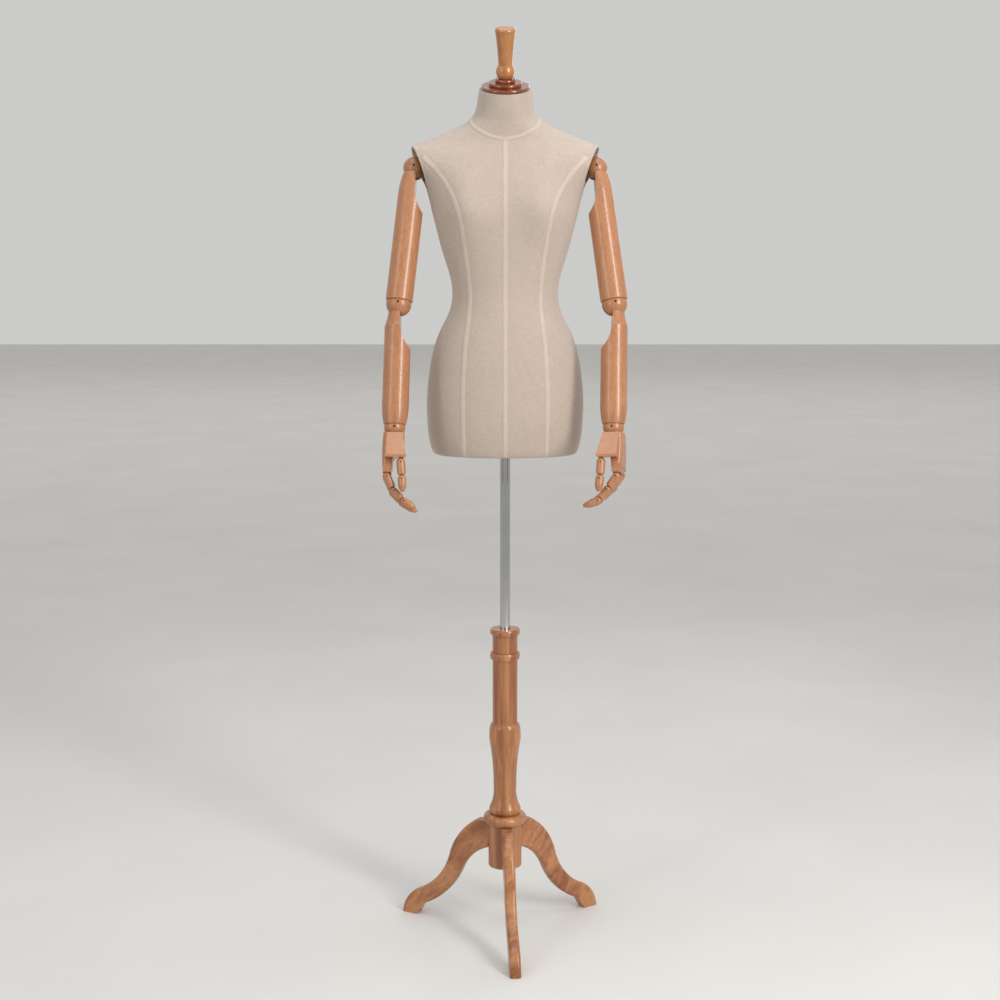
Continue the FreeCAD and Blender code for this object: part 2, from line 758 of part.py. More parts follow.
def build_neck_block():
    """Plug in the neck of the shell with three rounded steps on top."""
    round_edge = -1.5
    step = sizes.cap_step
    body = new_body("NeckBody")
    turn(body, [
        (0, -24),
        (42, -24),
        (44, 0.3),
        (sizes.cap_radius - 1.5, 0.3),
        (sizes.cap_radius - 1.5, step, round_edge),
        (sizes.cap_middle - 1.5, step),
        (sizes.cap_middle - 1.5, step * 2, round_edge),
        (sizes.cap_upper - 1.5, step * 2),
        (sizes.cap_upper - 1.5, step * 3, round_edge),
        (0, step * 3),
    ])
    finish("neck_block", body, neck_frame())


def build_finial():
    foot = sizes.cap_step * 3
    ball = foot + sizes.finial_ball
    top = foot + sizes.finial_length
    body = new_body("FinialBody")
    turn(body, [
        (0, foot),
        (12.5, foot),
        (14.6, ball, -6.0),
        (21.0, top - 7, 0.9),
        (21.6, top - 4, -0.3),
        (18.5, top, -0.6),
        (0, top),
    ])
    finish("finial", body, neck_frame())


def build_armhole_fittings():
    """Dark boards that close the armholes, and the steel flange and stud for each arm."""
    depth = float(sizes.armhole_depth)
    plate = float(sizes.plate_thickness)
    filling = body_solid(float(sizes.cover_wall) + 0.2)
    stud_reach = 36.0
    stud_end = 12.8
    boards = []
    hooks = []
    for side in SIDES.values():
        board = filling.common(outside_armhole(side, depth + plate))
        boards.append(board.cut(outside_armhole(side, depth)))
        disc = Part.makeCylinder(14.0, 3.0, Vector(-depth, 0, -2.7), Vector(1, 0, 0))
        disc.Placement = armhole_frame(side)
        start = Vector(side * (float(sizes.shoulder_x) - stud_reach), 0, float(sizes.shoulder_z))
        stud = Part.makeCylinder(
            float(sizes.stud_radius), stud_reach - stud_end, start, Vector(side, 0, 0)
        )
        behind = Part.makeBox(60, 60, 60, Vector(-depth - 60, -30, -30))
        behind.Placement = armhole_frame(side)
        hooks.append(disc.fuse(stud.cut(behind)).removeSplitter())
    solid_feature("armhole_plates", Part.makeCompound(boards))
    solid_feature("shoulder_hooks", Part.makeCompound(hooks))


# ---------------------------------------------------------------- arms

def notch(start, edge_low, straight_end, end, reach, side, crown):
    """Outline of the scallop on the inner side of an arm piece.

    It runs down from height start at edge_low inward of the axis, curves out from straight_end
    and leaves the wood at height end, reach inward of the axis.
    """
    corners = [
        (-40, start),
        (-edge_low, start),
        (-edge_low - 1, straight_end),
        (-reach, end, crown),
        (-40, end),
    ]
    return mirrored(corners, side)


def ball_bulge(radius, low, high):
    """Crown of the arc of a ball between two heights, and its radii there."""
    low_radius = math.sqrt(radius ** 2 - low ** 2)
    high_radius = math.sqrt(radius ** 2 - high ** 2)
    chord = math.hypot(high_radius - low_radius, high - low)
    crown = radius - math.sqrt(radius ** 2 - (chord / 2) ** 2)
    return low_radius, high_radius, crown


def build_shoulder_ball(name, side, place):
    slot_radius = 11.0
    body = new_body(f"{name}_body")
    turn(body, half_disc(sizes.ball_radius))
    slab(body, corner_slot(slot_radius, 40.0, side, -1), sizes.arm_tongue + 2 * GAP,
         "PartDesign::Pocket")
    cross_hole(body, 0, 0, sizes.arm_pin_radius, 80)
    sketch = new_sketch(body, "YZ_Plane", -side * 12.5)
    sketch.addGeometry(
        Part.Circle(Vector(0, 0, 0), Vector(0, 0, 1), float(sizes.stud_radius) + RUN)
    )
    bore = body.newObject("PartDesign::Pocket", "StudBore")
    bore.Profile = sketch
    bore.Reversed = side < 0
    bore.Length = 20
    pin = cross_pin(f"{name}_pin", sizes.arm_pin_radius, 2 * sizes.ball_radius - 4)
    finish(name, group(f"{name}_group", [body, pin]), place)


def build_upper_arm(name, side, place):
    foot = -sizes.upper_length + sizes.elbow_drop
    bore = sizes.dowel_radius + RUN
    body = new_body(f"{name}_body")
    turn(body, [
        (0, foot + 36),
        (bore, foot + 36),
        (bore, foot + 11),
        (13.0 + GAP, foot + 11),
        (13.0 + GAP, foot),
        (sizes.arm_radius - 1, foot),
        (sizes.arm_radius, foot + 1, -0.3),
        (sizes.arm_radius, -52),
        (24.7, -22, -0.7),
        (18, -4, -1.0),
        (0, -4),
    ])
    turn(body, half_disc(sizes.ball_radius + 0.4), "PartDesign::Groove")
    slab(body, tongue_outline(10.4, 8.0, 8.0, 45.0), sizes.arm_tongue)
    slab(body, notch(-13, 5.5, -45, -97.5, 29.0, side, 5.7), 80, "PartDesign::Pocket")
    cross_hole(body, 0, 0, sizes.arm_pin_radius + RUN, 80)
    finish(name, body, place)


def build_elbow_knuckle(name, side, place):
    """A ball cut flat above and below, with a spigot and a dowel into the upper arm."""
    top = float(sizes.elbow_drop) - GAP
    flat = float(sizes.elbow_flat)
    low_radius, high_radius, crown = ball_bulge(float(sizes.elbow_radius), -flat, top)
    body = new_body(f"{name}_body")
    turn(body, [
        (0, -sizes.elbow_flat),
        (low_radius, -sizes.elbow_flat),
        (high_radius, sizes.elbow_drop - GAP, -crown),
        (13.0, sizes.elbow_drop - GAP),
        (13.0, sizes.elbow_drop + 10),
        (sizes.dowel_radius, sizes.elbow_drop + 10),
        (sizes.dowel_radius, sizes.elbow_drop + 35),
        (0, sizes.elbow_drop + 35),
    ])
    slab(body, corner_slot(9.0, 40.0, -side, -1), sizes.arm_tongue + 2 * GAP,
         "PartDesign::Pocket")
    cross_hole(body, 0, 0, sizes.arm_pin_radius, 80)
    pin = cross_pin(f"{name}_pin", sizes.arm_pin_radius, 2 * sizes.elbow_radius - 4)
    finish(name, group(f"{name}_group", [body, pin]), place)


def build_forearm(name, side, place):
    foot = -sizes.fore_length + sizes.wrist_drop
    bore = sizes.dowel_radius + RUN
    body = new_body(f"{name}_body")
    turn(body, [
        (0, foot + 31),
        (bore, foot + 31),
        (bore, foot),
        (sizes.fore_end - 1, foot),
        (sizes.fore_end, foot + 1, -0.3),
        (sizes.fore_radius, foot + 50, -1.6),
        (sizes.fore_radius, -48),
        (20.8, -18, 0.8),
        (15, -10),
        (0, -10),
    ])
    turn(body, half_disc(sizes.elbow_radius + 0.4), "PartDesign::Groove")
    slab(body, tongue_outline(8.4, 8.0, 8.0, 45.0), sizes.arm_tongue)
    slab(body, notch(-12, 4.0, -42, -97.0, 28.5, side, 5.8), 80, "PartDesign::Pocket")
    cross_hole(body, 0, 0, sizes.arm_pin_radius + RUN, 80)
    finish(name, body, place)


def build_wrist_knuckle(name, side, place):
    """A ball with a dowel into the forearm and a slot that lets the palm tip both ways."""
    top = float(sizes.wrist_drop) - GAP
    radius = float(sizes.wrist_radius)
    high_radius = math.sqrt(radius ** 2 - top ** 2)
    chord = math.hypot(high_radius, top + radius)
    crown = radius - math.sqrt(radius ** 2 - (chord / 2) ** 2)
    slot = 9.0
    body = new_body(f"{name}_body")
    turn(body, [
        (0, -sizes.wrist_radius),
        (high_radius, sizes.wrist_drop - GAP, -crown),
        (sizes.dowel_radius, sizes.wrist_drop - GAP),
        (sizes.dowel_radius, sizes.wrist_drop + 30),
        (0, sizes.wrist_drop + 30),
    ])
    slab(body, [
        (-slot * 2.8, -32),
        (-slot, -4),
        (-slot * 0.5, 5.5),
        (slot * 0.5, 5.5),
        (slot, -4),
        (slot * 2.8, -32),
    ], sizes.wrist_tongue + 2 * GAP, "PartDesign::Pocket")
    cross_hole(body, 0, 0, sizes.arm_pin_radius, 80)
    pin = cross_pin(f"{name}_pin", sizes.arm_pin_radius, 2 * sizes.wrist_radius - 4)
    finish(name, group(f"{name}_group", [body, pin]), place)


def hanging_tongue(x, top, pin, radius):
    """A tongue that comes down from top and ends round about a pin."""
    return [
        (x - radius, top),
        (x + radius, top),
        (x + radius, pin),
        (x - radius, pin, radius),
    ]


def build_palm(name, side, place):
    """The block of the hand, its raised thumb side, and a tongue for each finger."""
    half = float(sizes.palm_width) / 2
    wrist_half = float(sizes.palm_wrist) / 2
    mound_root = 20.0
    mound_back = float(sizes.thumb_front) - 9.7
    mound_front = float(sizes.thumb_front) + 9.7
    body = new_body(f"{name}_body")
    slab(body, mirrored([
        (-21, -12.5),
        (22, -12.5),
        (21.5, -86, 1.5),
        (2.5, -86),
        (0.5, -66),
        (-21, -46),
    ], side), sizes.palm_width)
    for edge in (-1, 1):
        slab(body, [
            (edge * wrist_half, -10),
            (edge * (half + 5), -10),
            (edge * (half + 5), -84),
            (edge * half, -84),
        ], 120, "PartDesign::Pocket", "YZ_Plane")
    doc.recompute()
    base = body.Tip
    edges = []
    for number, edge in enumerate(base.Shape.Edges, start=1):
        middle = edge.BoundBox.Center
        on_back = side * middle.x > 20.5
        on_heel = side * middle.x < -20.5
        if (on_back or on_heel) and edge.BoundBox.ZLength > 20 and abs(middle.y) > 20:
            edges.append(f"Edge{number}")
    rounding = body.newObject("PartDesign::Fillet", "RoundedEdges")
    rounding.Base = (base, edges)
    rounding.Radius = 8
    # the mound of the thumb widens from the wrist to the thumb joint
    slab(body, mirrored([
        (17, -12.5),
        (-19, -12.5),
        (-21, -46),
        (0.5, -66),
        (17, -66),
    ], side), mound_back - mound_root, offset=(mound_back + mound_root) / 2)
    slab(body, mirrored([
        (17, -12.5),
        (-19, -12.5),
        (-26.5, -63.0, 0.8),
        (-24.5, -67.2),
        (17, -67.2),
    ], side), mound_front - mound_back, offset=(mound_front + mound_back) / 2)
    slab(body, [
        (-wrist_half, -10),
        (-mound_front - 5, -10),
        (-mound_front - 5, -62),
        (-mound_front, -62),
    ], 120, "PartDesign::Pocket", "YZ_Plane")
    doc.recompute()
    base = body.Tip
    edges = []
    for number, edge in enumerate(base.Shape.Edges, start=1):
        box = edge.BoundBox
        if box.YMin < -mound_front + 1 and box.YMax > -wrist_half - 8 and box.ZLength > 30:
            edges.append(f"Edge{number}")
    rounding = body.newObject("PartDesign::Fillet", "RoundedMound")
    rounding.Base = (base, edges)
    rounding.Radius = 4

    line = side * sizes.finger_line
    for number, finger in enumerate(FINGERS):
        forward = (1.5 - number) * sizes.finger_pitch
        drop = getattr(sizes, f"{finger}_drop")
        foot = -drop + sizes.finger_radius + 0.4
        slab(body, [
            (line - sizes.finger_radius, -80),
            (line + sizes.finger_radius, -80),
            (line + sizes.finger_radius, foot),
            (line - sizes.finger_radius, foot),
        ], 2 * sizes.finger_radius, offset=forward)
        slab(body, hanging_tongue(line, foot + 3, -drop, 4.6), sizes.finger_tongue,
             offset=forward)
        cross_hole(body, line, -drop, sizes.finger_pin_radius + RUN, 10, offset=forward)
    thumb = -side * sizes.thumb_line
    slab(body, hanging_tongue(thumb, -60, -sizes.thumb_drop, 4.6), sizes.finger_tongue,
         offset=sizes.thumb_front)
    cross_hole(body, thumb, -sizes.thumb_drop, sizes.finger_pin_radius + RUN, 10,
               offset=sizes.thumb_front)

    turn(body, half_disc(sizes.wrist_radius + 0.4), "PartDesign::Groove")
    slab(body, [
        (-6.5, -28),
        (-5.0, 0),
        (5.0, 0, 5.0),
        (6.5, -28),
    ], sizes.wrist_tongue)
    cross_hole(body, 0, 0, sizes.arm_pin_radius + RUN, 14)
    finish(name, body, place)


def build_phalanx(name, side, place, radius, length, next_radius=None):
    """A finger piece: round top with a slot, and a tongue for the next piece or a round tip."""
    round_top = -0.2929 * radius
    body = new_body(f"{name}_body")
    if next_radius is None:
        turn(body, [
            (0, -length),
            (radius - 3.2, 4.0 - length, -1.3),
            (radius, 17.0 - length, -0.9),
            (radius, 0),
            (0, radius, round_top),
        ])
    else:
        foot = next_radius + 0.4 - length
        turn(body, [
            (0, foot),
            (next_radius - 0.8, foot),
            (next_radius, foot + 0.8, -0.25),
            (radius, 0),
            (0, radius, round_top),
        ])
        slab(body, hanging_tongue(0, foot + 3, -length, 4.6), sizes.finger_tongue)
        cross_hole(body, 0, -length, sizes.finger_pin_radius + RUN, 10)
    slab(body, corner_slot(5.2, 30.0, -side, 1), sizes.finger_tongue + 0.4, "PartDesign::Pocket")
    cross_hole(body, 0, 0, sizes.finger_pin_radius, 40)
    pin = cross_pin(f"{name}_pin", sizes.finger_pin_radius, 2 * radius - 2)
    finish(name, group(f"{name}_group", [body, pin]), place)


def build_arm(label, side):
    """One arm, each piece placed from the piece above it."""
    spread = getattr(sizes, f"spread_{label}")
    bend = getattr(sizes, f"bend_{label}")
    palm_turn = getattr(sizes, f"palm_turn_{label}")
    ball = shift(side * sizes.shoulder_x, 0, sizes.shoulder_z) * about("x", -sizes.arm_lean)
    upper = ball * about("y", -side * spread)
    knuckle = upper * shift(0, 0, -sizes.upper_length)
    fore = knuckle * about("y", side * bend)
    wrist = fore * shift(0, 0, -sizes.fore_length) * about("z", -side * palm_turn)
    palm = wrist
    frames[label] = {
        "shoulder_ball": ball, "upper_arm": upper, "elbow_knuckle": knuckle,
        "forearm": fore, "wrist_knuckle": wrist, "palm": palm,
    }
    build_shoulder_ball(f"{label}_shoulder_ball", side, ball)
    build_upper_arm(f"{label}_upper_arm", side, upper)
    build_elbow_knuckle(f"{label}_elbow_knuckle", side, knuckle)
    build_forearm(f"{label}_forearm", side, fore)
    build_wrist_knuckle(f"{label}_wrist_knuckle", side, wrist)
    build_palm(f"{label}_palm", side, palm)

    thin = sizes.finger_taper
    for number, finger in enumerate(FINGERS):
        lengths = [getattr(sizes, f"{finger}_{piece}") for piece in ("base", "middle", "tip")]
        radii = [sizes.finger_radius, sizes.finger_radius - thin, sizes.finger_radius - 2 * thin]
        place = palm * shift(
            side * sizes.finger_line,
            (number - 1.5) * sizes.finger_pitch,
            -getattr(sizes, f"{finger}_drop"),
        )
        for index, piece in enumerate(("base", "middle", "tip")):
            place = place * about("y", side * CURL[label][finger][index])
            following = radii[index + 1] if index < 2 else None
            build_phalanx(f"{label}_{finger}_{piece}", side, place, radii[index],
                          lengths[index], following)
            frames[label][f"{finger}_{piece}"] = place
            place = place * shift(0, 0, -lengths[index])

    place = palm * shift(-side * sizes.thumb_line, -sizes.thumb_front, -sizes.thumb_drop)
    place = place * about("y", side * THUMB_CURL[label][0])
    build_phalanx(f"{label}_thumb_base", side, place, sizes.thumb_radius, sizes.thumb_base,
                  sizes.thumb_radius - thin)
    frames[label]["thumb_base"] = place
    place = place * shift(0, 0, -sizes.thumb_base) * about("y", side * THUMB_CURL[label][1])
    build_phalanx(f"{label}_thumb_tip", side, place, sizes.thumb_radius - thin, sizes.thumb_tip)
    frames[label]["thumb_tip"] = place


# ---------------------------------------------------------------- assembly

build_column()
build_base_collar()
build_hub()
for leg, leg_azimuth in LEG_AZIMUTHS.items():
    build_leg(leg, leg_azimuth)
build_leg_bolts()
build_pole()
build_lock_sleeve()
build_lock_collet()
build_torso()
build_pole_socket()
build_neck_block()
build_finial()
build_armhole_fittings()
for arm, arm_side in SIDES.items():
    build_arm(arm, arm_side)
doc.recompute()

for thing in doc.Objects:
    if "Invalid" in thing.State or "Error" in thing.State:
        raise RuntimeError(f"{thing.Name} failed: {thing.State}")
for node, thing in nodes.items():
    if thing.Shape.isNull() or not thing.Shape.isValid():
        raise RuntimeError(f"{node} has no valid shape")

os.makedirs("parts", exist_ok=True)
for node, thing in nodes.items():
    thing.Shape.exportStep(os.path.join("parts", f"{node}.step"))
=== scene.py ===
import json
import math

import bmesh
import bpy
import numpy as np
from mathutils import Euler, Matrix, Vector, noise
from mathutils.bvhtree import BVHTree

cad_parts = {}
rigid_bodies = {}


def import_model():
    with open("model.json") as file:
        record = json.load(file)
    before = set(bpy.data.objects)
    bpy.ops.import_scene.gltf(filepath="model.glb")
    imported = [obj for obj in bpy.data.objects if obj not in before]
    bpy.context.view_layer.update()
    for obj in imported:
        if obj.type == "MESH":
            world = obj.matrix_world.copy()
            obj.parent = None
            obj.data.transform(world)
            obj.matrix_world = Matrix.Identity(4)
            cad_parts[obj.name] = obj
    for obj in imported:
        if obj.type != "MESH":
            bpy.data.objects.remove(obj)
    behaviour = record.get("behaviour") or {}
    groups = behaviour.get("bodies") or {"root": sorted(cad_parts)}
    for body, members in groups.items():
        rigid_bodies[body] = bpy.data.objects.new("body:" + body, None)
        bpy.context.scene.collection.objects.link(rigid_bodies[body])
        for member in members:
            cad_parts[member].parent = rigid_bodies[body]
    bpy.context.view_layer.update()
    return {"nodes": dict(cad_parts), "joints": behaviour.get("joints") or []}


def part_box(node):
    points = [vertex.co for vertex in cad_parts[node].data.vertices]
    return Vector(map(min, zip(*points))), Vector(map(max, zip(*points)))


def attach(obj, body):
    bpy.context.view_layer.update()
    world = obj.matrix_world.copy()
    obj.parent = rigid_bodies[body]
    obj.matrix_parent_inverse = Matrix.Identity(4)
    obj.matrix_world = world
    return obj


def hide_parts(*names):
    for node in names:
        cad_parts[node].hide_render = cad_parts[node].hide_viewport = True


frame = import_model()
nodes = frame["nodes"]

MM = 0.001
SIDES = {"right": 1, "left": -1}


# ------------------------------------------------------------------ materials

class Shader:
    """A material's node tree, with short calls for its nodes."""

    def __init__(self, name):
        self.material = bpy.data.materials.new(name)
        self.material.use_nodes = True
        self.tree = self.material.node_tree
        self.tree.nodes.clear()
        self.surface = self.add("ShaderNodeBsdfPrincipled")
        output = self.add("ShaderNodeOutputMaterial")
        self.link(self.surface.outputs["BSDF"], output.inputs["Surface"])
        self.place = self.add("ShaderNodeTexCoord").outputs["Object"]

    def add(self, kind, **settings):
        node = self.tree.nodes.new(kind)
        for key, value in settings.items():
            setattr(node, key, value)
        return node

    def link(self, output, socket):
        self.tree.links.new(output, socket)

    def plain(self, **values):
        """Values that are the same all over the surface."""
        for key, value in values.items():
            self.surface.inputs[key.replace("_", " ")].default_value = value

    def mapped(self, source, scale=(1, 1, 1), turn=(0, 0, 0)):
        mapping = self.add("ShaderNodeMapping")
        self.link(source, mapping.inputs["Vector"])
        mapping.inputs["Scale"].default_value = scale
        mapping.inputs["Rotation"].default_value = [math.radians(angle) for angle in turn]
        return mapping.outputs["Vector"]

    def noise(self, source, scale, detail=3.0, roughness=0.5, distortion=0.0):
        texture = self.add("ShaderNodeTexNoise")
        self.link(source, texture.inputs["Vector"])
        texture.inputs["Scale"].default_value = scale
        texture.inputs["Detail"].default_value = detail
        texture.inputs["Roughness"].default_value = roughness
        texture.inputs["Distortion"].default_value = distortion
        return texture.outputs["Fac"]

    def math(self, operation, first, second=None):
        node = self.add("ShaderNodeMath", operation=operation)
        for index, value in enumerate((first, second)):
            if value is None:
                continue
            if isinstance(value, (int, float)):
                node.inputs[index].default_value = value
            else:
                self.link(value, node.inputs[index])
        return node.outputs["Value"]

    def ramp(self, source, stops):
        node = self.add("ShaderNodeValToRGB")
        self.link(source, node.inputs["Fac"])
        elements = node.color_ramp.elements
        while len(elements) < len(stops):
            elements.new(0.5)
        for element, (position, colour) in zip(elements, stops):
            element.position = position
            if isinstance(colour, (int, float)):
                colour = (colour, colour, colour)
            element.color = (*colour, 1)
        return node.outputs["Color"]

    def mix(self, amount, first, second, blend="MIX"):
        node = self.add("ShaderNodeMix", data_type="RGBA", blend_type=blend)
        for index, value in ((0, amount), (6, first), (7, second)):
            if isinstance(value, (int, float)):
                node.inputs[index].default_value = value
            elif isinstance(value, tuple):
                node.inputs[index].default_value = (*value, 1)
            else:
                self.link(value, node.inputs[index])
        return node.outputs[2]

    def bump(self, height, strength, distance):
        node = self.add("ShaderNodeBump")
        node.inputs["Strength"].default_value = strength
        node.inputs["Distance"].default_value = distance
        self.link(height, node.inputs["Height"])
        self.link(node.outputs["Normal"], self.surface.inputs["Normal"])


WEAVE_RADIUS = 0.13      # the linen's threads are spaced as on a body of this radius
YARN_PITCH = 1.1 * MM
# scales of the noise, per metre: along a yarn, and across it
FINE_LONG, FINE_ACROSS = 45, 900
SLUB_LONG, SLUB_ACROSS = 95, 420
WEAVE_SHARE = 0.25       # of the relief, against that of the yarns
LINEN_BUMP = 0.5 * MM


def linen(name, light, dark, slub=1.0):
    """Plain-woven linen: the weave runs round and along the body, with some thicker yarns."""
    shader = Shader(name)
    split = shader.add("ShaderNodeSeparateXYZ")
    shader.link(shader.place, split.inputs["Vector"])
    x, y, z = split.outputs
    angle = shader.math("ARCTAN2", x, shader.math("MULTIPLY", y, -1.0))
    around = shader.math("MULTIPLY", angle, WEAVE_RADIUS)
    flat = shader.add("ShaderNodeCombineXYZ")
    shader.link(around, flat.inputs["X"])
    shader.link(z, flat.inputs["Z"])
    cloth = flat.outputs["Vector"]
    weft = shader.noise(shader.mapped(cloth, (FINE_LONG, 1, FINE_ACROSS)), 1.0, 2.0)
    warp = shader.noise(shader.mapped(cloth, (FINE_ACROSS, 1, FINE_LONG)), 1.0, 2.0)
    slub_weft = shader.noise(shader.mapped(cloth, (SLUB_LONG, 1, SLUB_ACROSS)), 1.0, 3.0, 0.65)
    slub_warp = shader.noise(shader.mapped(cloth, (SLUB_ACROSS, 1, SLUB_LONG)), 1.0, 3.0, 0.65)
    fine = shader.math("ADD", weft, warp)
    coarse = shader.math("ADD", slub_weft, slub_warp)
    yarns = shader.math("MULTIPLY", shader.math("ADD", fine, coarse), 0.5)
    heather = shader.ramp(shader.math("MULTIPLY", yarns, 0.5), [(0.40, dark), (0.60, light)])
    mottle = shader.noise(cloth, 26.0, 4.0, 0.6)
    shade = shader.ramp(mottle, [(0.3, 0.965), (0.7, 1.02)])
    shader.link(shader.mix(1.0, heather, shade, "MULTIPLY"), shader.surface.inputs["Base Color"])
    threads = 2 * math.pi / YARN_PITCH
    rows = shader.math("SINE", shader.math("MULTIPLY", z, threads))
    columns = shader.math("SINE", shader.math("MULTIPLY", around, threads))
    weave = shader.math("MULTIPLY", rows, columns)
    relief = shader.math("ADD", shader.math("MULTIPLY", weave, WEAVE_SHARE),
                         shader.math("MULTIPLY", yarns, slub))
    shader.bump(relief, 0.6, LINEN_BUMP)
    shader.plain(Roughness=0.88, Sheen_Weight=0.25, Sheen_Roughness=0.5, Specular_IOR_Level=0.25)
    return shader.material


# scales of the noise, per metre: across the grain, and along it
SWAY = (9, 1.3)
BANDS = (70, 2.6)
LINES = (340, 9)
PORES = (1300, 42)
BAND_SHARE = 0.62        # of the figure; the rest is the sway
FIGURE_SPREAD = 0.11     # half the part of the noise's range that goes from dark to light
WOOD_BUMP = 0.3 * MM


def wood(name, light, dark, turn=(0, 0, 0), grain=1.0, gloss=0.35, coat=0.3, contrast=1.0,
         pore_depth=0.72):
    """Varnished wood with its grain along the turned Z axis."""
    shader = Shader(name)
    along = shader.mapped(shader.place, (1, 1, 1), turn)

    def grained(scales, factor, *settings):
        across, lengthwise = scales
        stretched = shader.mapped(along, (across * factor, across * factor, lengthwise))
        return shader.noise(stretched, 1.0, *settings)

    sway = grained(SWAY, 1, 2.0)
    bands = grained(BANDS, grain, 5.0, 0.55, 0.35)
    lines = grained(LINES, grain, 3.0, 0.6)
    pores = grained(PORES, 1, 2.0)
    figure = shader.math("ADD", shader.math("MULTIPLY", bands, BAND_SHARE),
                         shader.math("MULTIPLY", sway, 1 - BAND_SHARE))
    middle = tuple((a + b) / 2 for a, b in zip(light, dark))
    spread = FIGURE_SPREAD / contrast
    base = shader.ramp(figure, [(0.5 - spread, dark), (0.5, middle), (0.5 + spread, light)])
    fine = shader.ramp(lines, [(0.32, 0.80), (0.55, 1.03)])
    pore = shader.ramp(pores, [(0.30, pore_depth), (0.40, 1.0)])
    colour = shader.mix(1.0, base, fine, "MULTIPLY")
    colour = shader.mix(1.0, colour, pore, "MULTIPLY")
    shader.link(colour, shader.surface.inputs["Base Color"])
    wear = shader.noise(shader.place, 55.0, 4.0)
    rough = shader.add("ShaderNodeMapRange")
    shader.link(wear, rough.inputs["Value"])
    rough.inputs["To Min"].default_value = gloss - 0.06
    rough.inputs["To Max"].default_value = gloss + 0.08
    shader.link(rough.outputs["Result"], shader.surface.inputs["Roughness"])
    shader.bump(shader.math("ADD", lines, shader.math("MULTIPLY", pores, 0.6)), 0.12, WOOD_BUMP)
    shader.plain(Coat_Weight=coat, Coat_Roughness=0.16, Specular_IOR_Level=0.45)
    return shader.material


def metal(name, colour, rough, brushed=0.0):
    """Polished or brushed metal with faint handling marks."""
    shader = Shader(name)
    marks = shader.noise(shader.mapped(shader.place, (30, 30, 30 + brushed * 900)), 1.0, 4.0)
    level = shader.add("ShaderNodeMapRange")
    shader.link(marks, level.inputs["Value"])
    level.inputs["To Min"].default_value = rough
    level.inputs["To Max"].default_value = rough + 0.07 + brushed * 0.15
    shader.link(level.outputs["Result"], shader.surface.inputs["Roughness"])
    tint = shader.ramp(marks, [(0.3, tuple(0.93 * value for value in colour)), (0.7, colour)])
    shader.link(tint, shader.surface.inputs["Base Color"])
    shader.plain(Metallic=1.0)
    return shader.material


def plastic(name, light, dark):
    """Matt moulded plastic with a fine grain."""
    shader = Shader(name)
    grain = shader.noise(shader.place, 900.0, 2.0)
    patches = shader.noise(shader.place, 20.0, 3.0)
    colour = shader.ramp(patches, [(0.35, dark), (0.65, light)])
    shader.link(colour, shader.surface.inputs["Base Color"])
    shader.bump(grain, 0.2, 0.1 * MM)
    shader.plain(Roughness=0.6)
    return shader.material


LINEN = linen("linen", (0.52, 0.434, 0.370), (0.425, 0.351, 0.295))
TAPE = linen("seam_tape", (0.590, 0.490, 0.412), (0.515, 0.425, 0.357), 0.5)
THREAD = linen("thread", (0.57, 0.475, 0.40), (0.48, 0.395, 0.33), 0.2)
ARM_WOOD = wood("arm_wood", (0.455, 0.205, 0.094), (0.360, 0.146, 0.062),
                grain=1.3, gloss=0.36, coat=0.35, contrast=0.6, pore_depth=0.90)
FINIAL_WOOD = wood("finial_wood", (0.50, 0.225, 0.075), (0.38, 0.145, 0.043),
                   gloss=0.28, coat=0.5)
STAND_LOOK = {
    "light": (0.470, 0.205, 0.078), "dark": (0.270, 0.085, 0.027),
    "grain": 0.8, "gloss": 0.34, "coat": 0.35, "contrast": 1.25,
}
STAND_WOOD = wood("stand_wood", **STAND_LOOK)
NECK_WOOD = wood("neck_wood", (0.27, 0.072, 0.022), (0.15, 0.032, 0.010),
                 grain=0.9, gloss=0.22, coat=0.7)
DARK_BOARD = wood("dark_board", (0.050, 0.026, 0.017), (0.026, 0.013, 0.009),
                  grain=0.8, gloss=0.45, coat=0.1)
BOARD = wood("board", (0.42, 0.29, 0.18), (0.30, 0.19, 0.11),
             turn=(90, 0, 0), gloss=0.6, coat=0.0)
CHROME = metal("chrome", (0.62, 0.62, 0.64), 0.05)
STEEL = metal("steel", (0.55, 0.55, 0.56), 0.28, 1.0)
SHELL = plastic("moulded_shell", (0.72, 0.69, 0.63), (0.64, 0.61, 0.55))
COLLET = plastic("collet", (0.03, 0.03, 0.03), (0.02, 0.02, 0.02))


def dress(node, material):
    """Give a carried-over CAD node its finish."""
    mesh = nodes[node].data
    mesh.materials.clear()
    mesh.materials.append(material)


LEG_TURNS = {"leg_front": -85, "leg_right": 35, "leg_left": 155}   # azimuths, in degrees
LEG_SLOPE = -42   # turns the grain along the leg, in degrees
for name in nodes:
    dress(name, ARM_WOOD)
for name in ("column", "base_collar", "hub_block", "lock_sleeve"):
    dress(name, STAND_WOOD)
for name, azimuth in LEG_TURNS.items():
    dress(name, wood(f"{name}_wood", turn=(0, LEG_SLOPE, -azimuth), **STAND_LOOK))
for name, material in {
    "leg_bolts": STEEL, "pole_socket": STEEL, "shoulder_hooks": STEEL, "pole": CHROME,
    "lock_collet": COLLET, "torso_shell": SHELL, "base_board": BOARD, "neck_block": NECK_WOOD,
    "finial": FINIAL_WOOD, "armhole_plates": DARK_BOARD, "torso_cover": LINEN,
}.items():
    dress(name, material)


PIN = metal("pin_steel", (0.10, 0.085, 0.075), 0.35)
# reach from the pin's axis, in mm: a little more than the radius of its hole
ARM_PIN = 2.9
FINGER_PIN = 1.75
PIN_SLOT = 1   # after the node's own finish


